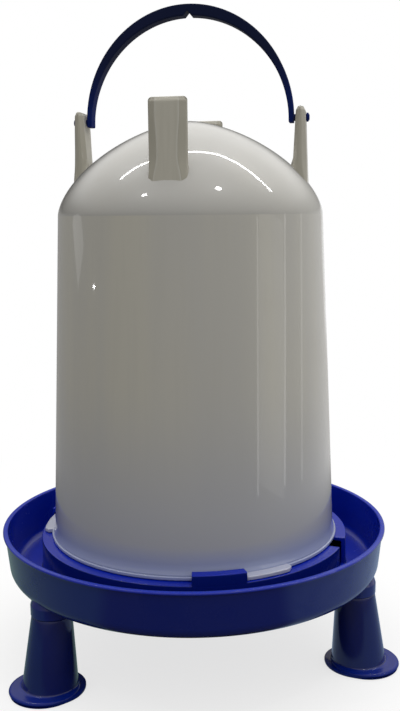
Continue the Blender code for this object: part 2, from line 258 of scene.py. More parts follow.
def make_piece(name: str, grids: Sequence[np.ndarray], finish: "Finish", body: Body,
               replaces: Sequence[str] = (), sharp: float = 60.0) -> bpy.types.Object:
    """Makes one object out of closed surfaces, each a grid of points in millimetres.

    Faces that vanish where points fell together are dropped, and a ring is closed by one flat face.

    Args:
        name: the object's name.
        grids: grids of points, (rows, columns, 3), closed along their columns.
        finish: the finish that makes its material.
        body: the body that it rides on.
        replaces: the CAD nodes that it stands for.
        sharp: edges that turn by more than this many degrees stay sharp.

    Returns:
        The object.
    """
    all_points, all_quads, ends, offset = [], [], [], 0
    for grid in grids:
        points, quads, rings = welded(grid)
        all_points.append(points)
        all_quads.append(quads + offset)
        ends += [(ring + offset).tolist() for ring in rings if len(ring) > 2]
        offset += len(points)
    points, quads = np.concatenate(all_points), np.concatenate(all_quads)
    same = quads == np.roll(quads, -1, 1)
    keep = same.sum(1) < 2
    faces = [quad[~gone].tolist() for quad, gone in zip(quads[keep], same[keep])] + ends
    mesh = bpy.data.meshes.new(name)
    mesh.from_pydata((points * MM).tolist(), [], faces)
    mesh.validate()
    mesh.shade_smooth()
    mesh.set_sharp_from_angle(angle=np.radians(sharp))
    mesh.materials.append(finish.material())
    piece = bpy.data.objects.new(name, mesh)
    bpy.context.scene.collection.objects.link(piece)
    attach(piece, body.value)
    if replaces:
        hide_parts(*replaces)
    log.info("%s: %d faces", name, len(faces))
    return piece


# Shader maths


def math_operator(operation: str, reflected: bool = False) -> Callable[["Signal", Any], "Signal"]:
    """Makes the method for one of Python's operators.

    Args:
        operation: the Math node's operation.
        reflected: whether the other value comes first.

    Returns:
        The method, which adds that node over the two values.
    """

    def method(self: "Signal", other: Any) -> "Signal":
        """Adds the node over self and other."""
        return self.math(operation, *((other, self) if reflected else (self, other)))

    return method


class Signal:
    """A socket that can be written in a formula: the usual operators add Math nodes."""

    def __init__(self, tree: "Nodes", socket: Any) -> None:
        """Keeps the socket and the tree that it is in."""
        self.tree = tree
        self.socket = socket

    def math(self, operation: str, *values: Any) -> "Signal":
        """One Math node over the values."""
        return self.tree.node("ShaderNodeMath", {"operation": operation}, dict(enumerate(values)))

    __add__ = __radd__ = math_operator("ADD")
    __mul__ = __rmul__ = math_operator("MULTIPLY")
    __sub__ = math_operator("SUBTRACT")
    __rsub__ = math_operator("SUBTRACT", True)
    __truediv__ = math_operator("DIVIDE")
    __pow__ = math_operator("POWER")

    def __abs__(self) -> "Signal":
        """The size of self."""
        return self.math("ABSOLUTE", self)

    def lesser(self, other: Any) -> "Signal":
        """The smaller of self and other."""
        return self.math("MINIMUM", self, other)

    def clip(self, low: Any = 0.0, high: Any = 1.0) -> "Signal":
        """Self kept between two values."""
        return self.math("MAXIMUM", self, low).lesser(high)

    def rise(self, low: float, high: float) -> "Signal":
        """A smooth rise.

        Args:
            low: where it starts; turned round where low is above high.
            high: where it ends.

        Returns:
            0 before low, 1 past high, and 3t^2 - 2t^3 between.
        """
        values = {"Value": self, "From Min": min(low, high), "From Max": max(low, high)}
        got = self.tree.node("ShaderNodeMapRange", {"interpolation_type": "SMOOTHSTEP"}, values)
        return 1 - got if low > high else got


class Nodes:
    """A node tree, with one method that adds a node and short ones for the nodes that come back often."""

    def __init__(self, owner: Any) -> None:
        """Empties a node tree and keeps it.

        Args:
            owner: the material or the world that has it.
        """
        owner.use_nodes = True
        self.owner = owner
        self.tree = owner.node_tree
        self.tree.nodes.clear()
        self._places: dict = {}

    def fill(self, socket: Any, value: Any) -> None:
        """Links a signal to a socket, or sets its value.

        Args:
            socket: the input.
            value: the signal or the value.
        """
        if isinstance(value, Signal):
            self.tree.links.new(value.socket, socket)
        else:
            socket.default_value = value

    def node(self, kind: str, settings: dict | None = None, inputs: dict | None = None,
             output: Any = 0) -> Signal:
        """Adds a node.

        Args:
            kind: the node's type.
            settings: its properties, set first.
            inputs: values or signals, by the name or number of their sockets.
            output: the name or number of the socket to return.

        Returns:
            That output as a signal.
        """
        made = self.tree.nodes.new(kind)
        for key, value in (settings or {}).items():
            setattr(made, key, value)
        for key, value in (inputs or {}).items():
            self.fill(made.inputs[key], value)
        return Signal(self, made.outputs[output])

    def place(self) -> Signal:
        """The object's own coordinates, read once.

        Returns:
            The vector.
        """
        if "object" not in self._places:
            self._places["object"] = self.node("ShaderNodeTexCoord", output="Object")
        return self._places["object"]

    def stretched(self, *scale: float) -> Signal:
        """The object's coordinates, scaled by a factor for each axis."""
        values = {"Vector": self.place(), "Scale": scale}
        return self.node("ShaderNodeMapping", {"vector_type": "POINT"}, values)

    def part(self, axis: str, way: Signal) -> Signal:
        """One number of a vector."""
        return self.node("ShaderNodeSeparateXYZ", None, {0: way}, axis)

    def axis(self, name: str) -> Signal:
        """One of the object's coordinates, read once.

        Args:
            name: X, Y or Z.

        Returns:
            The coordinate in metres.
        """
        if name not in self._places:
            self._places[name] = self.part(name, self.place())
        return self._places[name]

    def vector(self, operation: str, output: str, *values: Any) -> Signal:
        """One Vector Math node over the values."""
        return self.node("ShaderNodeVectorMath", {"operation": operation}, dict(enumerate(values)), output)

    def off_axis(self) -> Signal:
        """The distance from the Z axis."""
        return self.vector("LENGTH", "Value", self.stretched(1, 1, 0))

    def along(self, way: Signal, line: tuple) -> Signal:
        """How far a point or a direction reaches along a line: their dot product."""
        return self.vector("DOT_PRODUCT", "Value", way, line)

    def noise(self, scale: float, detail: float = 3.0, rough: float = 0.5, at: Signal | None = None,
              distortion: float = 0.0) -> Signal:
        """Noise.

        Args:
            scale: how many of its patches fit in a metre.
            detail: how many finer layers it has.
            rough: how strong they are.
            at: the coordinates, the object's own where none are given.
            distortion: how much it is bent.

        Returns:
            Its value, from 0 to 1.
        """
        values = {"Vector": at or self.place(), "Scale": scale, "Detail": detail, "Roughness": rough,
                  "Distortion": distortion}
        return self.node("ShaderNodeTexNoise", None, values)

    def mix(self, factor: Any, low: Any, high: Any) -> Signal:
        """A colour between two, by the factor."""
        low, high = (end if isinstance(end, Signal) else (*end, 1.0) for end in (low, high))
        return self.node("ShaderNodeMix", {"data_type": "RGBA"}, {0: factor, 6: low, 7: high}, 2)

    def blend(self, factor: Any, low: Signal, high: Signal) -> Signal:
        """A shader between two, by the factor."""
        return self.node("ShaderNodeMixShader", None, {0: factor, 1: low, 2: high})

    def light(self, kind: str, colour: Any, strength: Any = 1.0) -> Signal:
        """An Emission or a Background of a colour."""
        colour = colour if isinstance(colour, Signal) else (*colour, 1)
        return self.node(f"ShaderNode{kind}", None, {"Color": colour, "Strength": strength})

    def plain(self, grey: float, roughness: float) -> Signal:
        """A plainly lit grey."""
        values = {"Base Color": (grey, grey, grey, 1), "Roughness": roughness}
        return self.node("ShaderNodeBsdfPrincipled", None, values)

    def rays(self, kind: str) -> Signal:
        """1 to rays of that kind, 0 to all others."""
        return self.node("ShaderNodeLightPath", output=f"Is {kind} Ray")

    def output(self, kind: str, shader: Signal) -> None:
        """Links a shader to the output of a Material or a World."""
        self.fill(self.tree.nodes.new(f"ShaderNodeOutput{kind}").inputs["Surface"], shader)


# Finishes


@dataclass(frozen=True)
class Finish:
    """What every moulded plastic here shares: a gloss under a smooth coat, a fine grain and light wear."""

    name: str
    colour: tuple
    deep: tuple
    roughness: float
    specular: float = 0.5
    coat: float = 0.5
    coat_roughness: float = 0.05
    relief: float = 0.05
    wear: float = 0.10
    # the colour of wear; the ears also use it for their painted highlight
    wear_and_highlight_colour: tuple = (0.10, 0.14, 0.36)
    worn_heights: tuple = ()
    ior: float = 1.49
    flow_scale: float = 9.0
    grain_scale: float = 460.0
    smudge_scale: float = 24.0
    hair_scale: tuple = (160.0, 160.0, 900.0)

    def material(self) -> bpy.types.Material:
        """The finish's material, made once."""
        return bpy.data.materials.get(self.name) or self._make()

    def _make(self) -> bpy.types.Material:
        """Builds the nodes: colour from tint and wear, roughness from smudges, relief from flow and grain.

        Returns:
            The material.
        """
        n = Nodes(bpy.data.materials.new(self.name))
        flow = n.noise(self.flow_scale, 3.0, 0.55, distortion=0.8)
        grain = n.noise(self.grain_scale, 2.0, 0.6)
        scratch = self.scratches(n)
        smudge = n.noise(self.smudge_scale, 4.0, 0.6, distortion=0.4).rise(0.5, 0.75)
        colour = n.mix((scratch * self.wear).clip(), self.tint(n, flow), self.wear_and_highlight_colour)
        rough = (smudge * 0.07 + scratch * 0.14 + grain * 0.04 + (self.roughness - 0.03)).clip(0.03, 0.9)
        gloss = (1 - smudge * 0.25 - scratch * 0.3) * self.coat * self.shine(n)
        height = grain * 0.2 + flow * 0.6 + scratch * 0.2
        bump = n.node("ShaderNodeBump", None, {"Strength": self.relief, "Distance": MM, "Height": height})
        n.output("Material", n.node("ShaderNodeBsdfPrincipled", None, {
            "Base Color": colour, "Roughness": rough, "Metallic": 0.0, "IOR": self.ior,
            "Specular IOR Level": self.specular, "Coat Weight": gloss.clip(),
            "Coat Roughness": self.coat_roughness, "Normal": bump,
        }))
        return n.owner

    def shine(self, n: Nodes) -> Any:
        """The share of the coat that each place has; all of it here."""
        return 1.0

    def tint(self, n: Nodes, flow: Signal) -> Signal:
        """The clean colour: slow flow marks drift it towards the deep one."""
        return n.mix((flow.rise(0.3, 0.7) * 0.35).clip(), self.colour, self.deep)

    def scratches(self, n: Nodes) -> Signal:
        """Hairline scuffs in short patches, all over in a trace and plainly where the part rubs.

        Args:
            n: the node tree.

        Returns:
            How scuffed each place is, from 0 to 1.
        """
        hair = n.noise(1.0, 2.0, 0.6, at=n.stretched(*self.hair_scale)).rise(0.60, 0.74)
        patch = n.noise(30.0, 3.0, 0.6).rise(0.48, 0.70)
        marks = hair * patch * 0.4
        if self.worn_heights:
            marks = marks + n.axis("Z").rise(*self.worn_heights) * n.noise(120.0, 4.0, 0.7).rise(0.40, 0.62)
        return marks.clip()


@dataclass(frozen=True)
class TrayPlastic(Finish):
    """The tray's blue, glossier over its outside than in the trough, with painted shade that deepens the
    outside wall and the collar's upright face, and a painted highlight along the rim's top.
    """

    corner: tuple = (0.1363, 0.0095)
    corner_r: float = 0.0095
    wall_slope: float = 0.107
    wall: float = 0.0021
    # below this height the tray's outside gets painted shade
    bead: float = 0.0346
    rim: float = 0.03585
    # painted highlight: the rim's top is painted a bright blue, as its rounded crest catches the light
    rim_highlight_blue: tuple = (0.008, 0.028, 0.390)
    rim_shine: float = 0.50
    # the radii of the collar's upright face, which gets painted shade
    shaded_collar_face: tuple = (0.1201, 0.1215)
    hood_top: float = 0.0348
    inner_shine: float = 0.40
    edge: float = 0.0003
    fine_edge: float = 0.0001
    soft_edge: float = 0.0004

    def outside(self, n: Nodes) -> Signal:
        """Where the tray's outside is.

        That is where a point lies further than the corner's radius less half a wall from the corner's centre:
        hypot(max(r - slope max(z - zc, 0) - rc, 0), max(zc - z, 0)).

        Args:
            n: the node tree.

        Returns:
            1 outside the wall's middle, 0 inside it.
        """
        (rc, zc), z = self.corner, n.axis("Z")
        out = (n.off_axis() - (z - zc).clip() * self.wall_slope - rc).clip()
        down = (zc - z).clip()
        middle = self.corner_r - self.wall / 2
        return ((out * out + down * down) ** 0.5).rise(middle - self.edge, middle + self.edge)

    def shine(self, n: Nodes) -> Any:
        """All of the coat outside, less of it inside, and a share of either on the rim's top.

        Args:
            n: the node tree.

        Returns:
            The share.
        """
        top = n.axis("Z").rise(self.rim - self.soft_edge, self.rim)
        share = self.outside(n) * (1 - self.inner_shine) + self.inner_shine
        return share * (1 - top * (1 - self.rim_shine))

    def tint(self, n: Nodes, flow: Signal) -> Signal:
        """Painted shade deepens the outside below the bead and the collar's upright face, and a painted
        highlight brightens the rim's top.

        Args:
            n: the node tree.
            flow: the slow flow marks.

        Returns:
            The colour.
        """
        z, far, (face, past) = n.axis("Z"), n.off_axis(), self.shaded_collar_face
        edge, fine, soft = self.edge, self.fine_edge, self.soft_edge
        # painted shade on the collar's upright face, down in the narrow trough
        collar = far.rise(face - fine, face + fine) * far.rise(past + soft, past - soft)
        collar = collar * z.rise(self.hood_top + edge, self.hood_top - edge)
        # painted shade on the tray's outside below the bead
        wall = self.outside(n) * z.rise(self.bead + edge, self.bead - edge)
        body = n.mix((wall + collar + flow.rise(0.3, 0.7) * 0.2).clip(), self.colour, self.deep)
        # painted highlight along the rim's top
        return n.mix(z.rise(self.rim - fine, self.rim + fine), body, self.rim_highlight_blue)


@dataclass(frozen=True)
class LegPlastic(Finish):
    """The legs' darker blue, whose foot is painted a lighter blue for the light on its top, and is duller
    from the ground.
    """

    foot_top: float = -0.0598
    foot_edge: float = 0.0006
    # painted light: a brighter blue over the foot, where light falls on its top
    foot_painted_light: tuple = (0.003, 0.016, 0.210)
    foot_shine: float = 0.30

    def shine(self, n: Nodes) -> Any:
        """All of the coat on the cone, less of it on the foot."""
        cone = n.axis("Z").rise(self.foot_top - self.foot_edge, self.foot_top)
        return cone * (1 - self.foot_shine) + self.foot_shine

    def tint(self, n: Nodes, flow: Signal) -> Signal:
        """The usual drift between two blues, and a lighter blue painted on the foot for the light on its top.
        """
        # painted light: the foot gets the lighter blue
        foot = n.axis("Z").rise(self.foot_top, self.foot_top - self.foot_edge)
        return n.mix(foot, super().tint(n, flow), self.foot_painted_light)


@dataclass(frozen=True)
class BailPlastic(Finish):
    """The bail's navy, with a painted blue glow towards its thin ends for the light that comes through them.
    """

    # painted light: the blue glow of light coming through the thin ends
    thin: tuple = (0.004, 0.014, 0.120)
    heights: tuple = (0.395, 0.341)

    def tint(self, n: Nodes, flow: Signal) -> Signal:
        """From the ends up, the painted blue glow fades out between the heights."""
        body = n.mix((flow.rise(0.3, 0.7) * 0.5).clip(), self.colour, self.deep)
        # painted glow of light through the ends
        return n.mix((n.axis("Z").rise(*self.heights) * 0.85).clip(), body, self.thin)


@dataclass(frozen=True)
class MilkyPlastic(Finish):
    """The bell's translucent plastic: streaks down the wall, a paler dome, and a painted bluish cast of the
    tray's light on the lower wall and foot.
    """

    dome: tuple = (0.422, 0.415, 0.392)
    cool: tuple = (0.451, 0.444, 0.424)
    # painted light: the lower wall's bluish cast, the blue tray's light thrown on it
    low: tuple = (0.395, 0.402, 0.430)
    # painted light and reflection: the foot's blue, the tray seen through the wall and mirrored in it
    foot: tuple = (0.325, 0.370, 0.560)
    shoulder: float = 0.275
    # where the painted bluish cast on the wall begins
    blue_cast_top: float = 0.170
    # where the painted blue of the foot begins
    foot_cast_top: float = 0.045

    def tint(self, n: Nodes, flow: Signal) -> Signal:
        """Warm and cool streaks stand upright on the wall; the dome has faint clouds; a painted bluish cast
        of the tray's light grows down the wall and is strongest on the foot.

        Args:
            n: the node tree.
            flow: the slow flow marks.

        Returns:
            The colour.
        """
        z = n.axis("Z")
        streak = n.noise(1.0, 2.0, 0.5, at=n.stretched(24, 24, 1.2)).rise(0.30, 0.70)
        fine = n.noise(1.0, 2.0, 0.5, at=n.stretched(240, 240, 2.5)).rise(0.5, 0.7)
        wall = n.mix((streak * 0.75).clip(), self.colour, self.cool)
        wall = n.mix((fine * 0.14).clip(), wall, self.deep)
        cloud = n.mix((flow.rise(0.35, 0.7) * 0.3).clip(), self.dome, self.colour)
        body = n.mix(z.rise(self.shoulder - 0.0004, self.shoulder + 0.0004), wall, cloud)
        # painted bluish cast of the tray's light down the wall
        body = n.mix(z.rise(self.blue_cast_top, self.foot_cast_top), body, self.low)
        # painted blue of the tray showing through the foot and mirrored in it
        return n.mix((z.rise(self.foot_cast_top + 0.008, self.foot_cast_top - 0.010) * 0.9).clip(), body, self.foot)


@dataclass(frozen=True)
class EarPlastic(Finish):
    """The ears' duller plastic, with painted shade on the slanted bands beside each panel and a painted
    highlight along the crease between.
    """

    panel: float = 0.0083

    def tint(self, n: Nodes, flow: Signal) -> Signal:
        """Paints shade on the bands beside each panel, whose half width follows the ear's waist, as in the
        mesh, and a highlight along the crease.

        The distance from an ear's middle is the smaller of |x| and |y|, as the ears stand on the axes.

        Args:
            n: the node tree.
            flow: the slow flow marks.

        Returns:
            The colour.
        """
        across, half = abs(n.axis("X")).lesser(abs(n.axis("Y"))), 1.0
        for (top, foot, share), sign in ((EAR_WAIST, -1.0), (EAR_FOOT, 1.0)):
            half = n.axis("Z").rise(top * MM, foot * MM) * (sign * share) + half
        past = across - half * self.panel
        # painted shade over the bands, which turn away from the light
        band = past.rise(-0.0001, 0.0003)
        # painted highlight along the crease at the panel's edge
        line = past.rise(-0.0012, -0.0006) * (1 - band)
        streak = n.noise(1.0, 3.0, 0.6, at=n.stretched(260, 260, 14)).rise(0.4, 0.7)
        face = n.mix((flow.rise(0.3, 0.7) * 0.25 + streak * 0.2).clip(), self.colour, self.deep)
        # painted shade on the bands
        face = n.mix((band * 0.9).clip(), face, self.deep)
        # painted highlight along the crease
        return n.mix((line * 0.5).clip(), face, self.wear_and_highlight_colour)


TRAY_BLUE = TrayPlastic("tray_blue_plastic", (0.002, 0.017, 0.390), (0.003, 0.012, 0.165), 0.26,
                        specular=0.08, coat=1.0, coat_roughness=0.035, wear=0.06)
LEG_BLUE = LegPlastic("leg_dark_blue_plastic", (0.002, 0.009, 0.125), (0.002, 0.005, 0.075), 0.24,
                      specular=0.08, coat=1.0, coat_roughness=0.035, wear=0.06,
                      worn_heights=(-0.0625, -0.0648))
BAIL_NAVY = BailPlastic("bail_navy_plastic", (0.009, 0.013, 0.044), (0.006, 0.010, 0.032), 0.42, specular=0.0,
                        coat=0.08, coat_roughness=0.20, wear_and_highlight_colour=(0.04, 0.05, 0.12))
BELL_MILK = MilkyPlastic("bell_milky_plastic", (0.507, 0.490, 0.426), (0.446, 0.431, 0.384), 0.32,
                         specular=0.2, coat=1.0, coat_roughness=0.03, relief=0.04, wear=0.05,
                         wear_and_highlight_colour=(0.56, 0.56, 0.54))
LUG_MILK = Finish("lug_milky_plastic", (0.46, 0.48, 0.60), (0.42, 0.44, 0.54), 0.30, coat=0.6, wear=0.15,
                  wear_and_highlight_colour=(0.60, 0.61, 0.66))
EAR_MILK = EarPlastic("ear_milky_plastic", (0.488, 0.469, 0.402), (0.376, 0.357, 0.295), 0.38, specular=0.35,
                      coat=0.25, coat_roughness=0.12, wear=0.20, wear_and_highlight_colour=(0.53, 0.52, 0.47),
                      worn_heights=(0.3495, 0.3520))


# Sub-assemblies


@dataclass
class Tray:
    """The drinking tray: pan, collar with its outlet, hoods and leg sockets, all one moulding."""

    rim_r: float = 150.0
    height: float = 36.0
    wall_top_r: float = 148.4
    wall_foot_r: float = 145.8
    corner_r: float = 9.5
    wall: float = 2.1
    floor: float = 2.4
    rim_t: float = 2.2
    rim_roll: float = 1.03
    wall_row: float = 20.0
    under_rows: tuple = (60.0, 118.0)
    floor_rows: tuple = (100.0, 50.0)
    collar_r: float = 120.4
    collar_in: float = 117.4
    bore_r: float = 107.6
    flange_low: float = 25.6
    flange_top: float = 28.0
    sill: float = 8.0
    sunk: float = 0.5
    outlet: tuple = (344.9, 354.5)
    sill_overlap: float = 0.4
    hood_starts: tuple = (279.0, 39.0, 159.0)
    hood_span: float = 18.3
    stop_span: float = 1.8
    stop_step: float = 0.02
    hood_root: float = 26.8
    hood_gap: float = 31.8
    hood_top: float = 35.6
    hood_inner: float = 113.0
    hood_wall: float = 1.3
    end_edge: float = 0.45
    socket_r: float = 15.1
    socket_depth: float = 7.4
    socket_dome: tuple = ((0.86, 7.0, 4.0), (0.45, 13.0, 2.0), (0.0, 13.5, 0.0))
    bore: float = 12.7
    steps: int = 288

    def pan(self) -> np.ndarray:
        """Underside, rounded corner, flared wall, rim and the inside, as one turned outline.

        Returns:
            The grid.
        """
        inner_top, low = self.wall_top_r - self.wall, self.height - self.rim_t
        slope = (self.wall_top_r - self.wall_foot_r) / (low - self.corner_r)
        foot = self.wall_foot_r - slope * self.corner_r
        inner_foot = inner_top - (self.wall_top_r - foot) + self.floor * slope
        outline = rounded([
            (0, 0, 0), *((r, 0, 0) for r in self.under_rows), (foot, 0, self.corner_r),
            (foot + slope * self.wall_row, self.wall_row, 0), (self.wall_top_r, low, 0.6),
            (self.rim_r, low, self.rim_roll), (self.rim_r, self.height, self.rim_roll),
            (inner_top, self.height, 0.9), (inner_foot, self.floor, self.corner_r - self.wall),
            *((r, self.floor, 0) for r in self.floor_rows), (0, self.floor, 0),
        ], closed=False, arc=9, straight=7)
        return turned(outline, self.steps)

    def collar(self) -> list:
        """The collar's wall and flange, from one side of the outlet round to the other, and its sill.

        Returns:
            The two grids.
        """
        low, outer, inner = self.floor - self.sunk, self.collar_r, self.collar_in
        section = rounded([
            (self.bore_r, self.flange_low, 0.5), (inner, self.flange_low, 1.2), (inner, low + 1.6, 1.0),
            (inner - 1.0, low, 0.5), (outer + 1.2, low, 0.5), (outer, low + 1.8, 1.4),
            (outer, self.flange_top, 0.7), (self.bore_r, self.flange_top, 0.6),
        ])
        near, past = self.outlet
        ring, degrees = eased_ends(section, past, near + 360, self.end_edge, outer, 260)
        step = rounded([
            (inner, low, 0.1), (outer, low, 0.1), (outer, self.sill, 0.5), (inner, self.sill, 0.5),
        ], arc=4, straight=3)
        gap = np.linspace(near - self.sill_overlap, past + self.sill_overlap, 9)
        return [swept_round_z(ring, degrees), swept_round_z(step, gap)]

    def hood(self, start: float) -> np.ndarray:
        """One hood. Its section is a solid block over the stop, then a wall with a roof.

        Args:
            start: the angle of its closed end.

        Returns:
            The grid.
        """
        root, top, inner, outer = self.hood_root, self.hood_top, self.hood_inner, self.collar_r - 0.02
        wall = outer - self.hood_wall

        def section(floor: float) -> np.ndarray:
            """The hood's section with its underside at a height."""
            return rounded([(wall, root, 0.5), (outer, root, 0.5), (outer, top, 1.0), (inner, top, 0.7),
                            (inner, floor, 0.5), (wall, floor, 0.3)], arc=5, straight=4)

        solid, hollow, step = section(root + self.sunk), section(self.hood_gap), start + self.stop_span
        block, angles_a = eased_ends(solid, start, start + 2 * self.stop_span, self.end_edge, outer, 6)
        roof, angles_b = eased_ends(hollow, start, start + self.hood_span, self.end_edge, outer, 22)
        near, far = angles_a < step - 0.1, angles_b > step + 0.1
        return swept_round_z(np.concatenate([block[near], [solid, hollow], roof[far]]),
                             np.concatenate([angles_a[near], [step, step + self.stop_step], angles_b[far]]))

    def socket(self, degrees: float) -> np.ndarray:
        """One leg socket: a tube with a closed top that melts into the tray's wall.

        Its outline turns about the socket's axis. A point that would come through the tray is held in the
        middle of the tray's thickness: below the floor's middle, or outside the wall's middle.

        Args:
            degrees: where it stands round the tray.

        Returns:
            The grid.
        """
        r, bore, deep = self.socket_r, self.bore, self.socket_depth
        outline = rounded([
            (0, -0.05, 0), (bore, -0.05, 0.4), (bore, -deep, 0.4), (r, -deep, 0.6), (r, 0.4, 3.0),
            *((r * share, z, fillet) for share, z, fillet in self.socket_dome),
        ], closed=False, arc=6, straight=8)
        grid = spun(turned(outline, 96) + [LEG_CIRCLE, 0, 0], degrees)
        far = np.hypot(grid[..., 0], grid[..., 1])
        bend = self.wall_foot_r - self.corner_r
        inside = self.corner_r - self.wall / 2
        ceiling = self.corner_r - np.sqrt(inside**2 - np.clip(far - bend, 0, inside) ** 2)
        ceiling = np.where(far < bend + inside, ceiling, np.inf)
        grid[..., 2] = np.minimum(grid[..., 2], ceiling)
        return grid

    def build(self) -> None:
        """Makes the tray's pieces."""
        for name, grids, nodes in (
            ("tray_pan", [self.pan()], ["tray"]),
            ("tray_collar", self.collar(), []),
            ("tray_hoods", [self.hood(a) for a in self.hood_starts], []),
            ("tray_sockets", [self.socket(a) for a in LEG_ANGLES], []),
        ):
            make_piece(name, grids, TRAY_BLUE, Body.BASE, nodes)


@dataclass
class Legs:
    """Three push-in legs: plug, hollow cone and a round foot set outwards."""

    ground: float = -65.0
    plug_top: float = -0.6
    shoulder: float = -7.7
    plug_r: float = 12.4
    top_r: float = 14.6
    foot_cone_r: float = 20.4
    splay: float = 3.2
    foot_r: float = 25.7
    foot_t: float = 4.4
    foot_offset: float = 8.0
    wall: float = 2.0

    def leg(self, degrees: float) -> np.ndarray:
        """One leg's skin.

        Each row is a circle; its radius and its centre's distance outwards follow the outline, so the cone
        leans and the foot lies off centre. The offset eases from the cone's to the foot's over the foot's
        top.

        Args:
            degrees: where the leg stands round the tray.

        Returns:
            The grid.
        """
        top, under, hollow = self.ground + self.foot_t, self.plug_top - self.wall, self.plug_r - self.wall
        outline = rounded([
            (0, self.plug_top, 0), (self.plug_r, self.plug_top, 0.8), (self.plug_r, self.shoulder, 0.3),
            (self.top_r, self.shoulder, 0.6), (self.foot_cone_r, top, 1.6), (self.foot_r, top, 1.9),
            (self.foot_r, self.ground, 1.5), (self.foot_cone_r - self.wall, self.ground, 0.6),
            (self.top_r - self.wall, self.shoulder - self.wall, 1.0), (hollow, self.shoulder, 0.8),
            (hollow, under, 1.0), (0, under, 0),
        ], closed=False, arc=7, straight=9)
        r, z = outline.T
        lean = self.splay * np.clip((self.shoulder - z) / (self.shoulder - top), 0, 1)
        on_foot = smooth_step(r, self.foot_cone_r - 0.2, self.foot_r - 1.0)
        up_inside = (np.arange(len(r)) > np.argmax(r)) & (z >= self.ground + 0.3)
        offset = lean + (self.foot_offset - self.splay) * np.where(up_inside, 0.0, on_foot)
        grid = turned(outline, 112)
        grid[..., 0] += offset[:, None] + LEG_CIRCLE
        return spun(grid, degrees)

    def build(self) -> None:
        """Makes the legs, each standing for its own node."""
        for number, angle in enumerate(LEG_ANGLES, start=1):
            make_piece(f"leg_{number}_shell", [self.leg(angle)], LEG_BLUE, Body.BASE,
                       [f"leg_{number}"])


